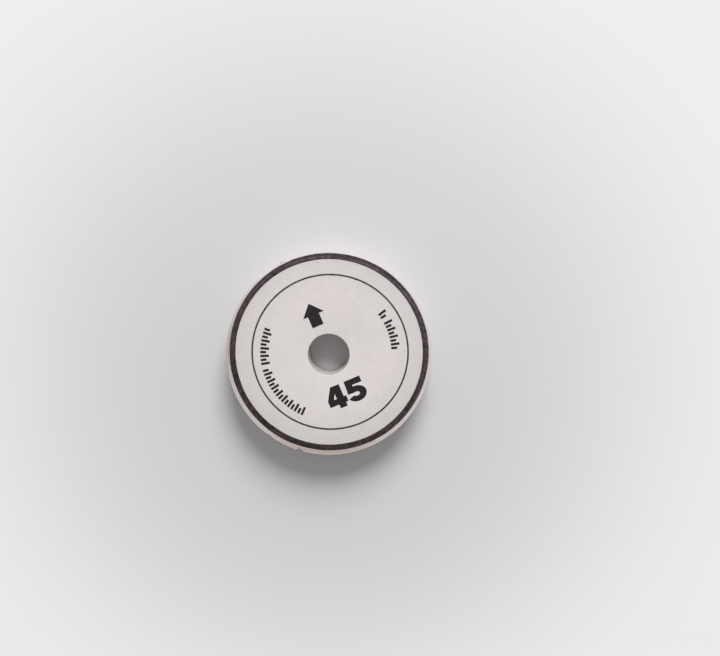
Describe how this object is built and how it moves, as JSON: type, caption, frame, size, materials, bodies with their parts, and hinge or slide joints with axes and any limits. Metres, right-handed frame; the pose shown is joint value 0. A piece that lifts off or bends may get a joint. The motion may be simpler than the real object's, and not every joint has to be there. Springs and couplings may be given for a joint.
{
  "type": "record spindle adapter",
  "caption": "Flat round plastic disc with a plain centre bore, which lets a record with a wide centre hole sit on a thin turntable spindle.",
  "frame": {"origin": "middle of the back face, which lies on the surface below, on the axis of the bore", "axes": "+Z along the bore, out of the printed face; +Y towards the top of the print; +X to the right of the print"},
  "size_m": [0.038, 0.0383, 0.006],
  "materials": {
    "plastic": "matt, fine moulded texture",
    "print": "matt, slightly mottled dark print"
  },
  "bodies": {
    "root": {"adapter_disc": "plastic"}
  },
  "joints": []
}
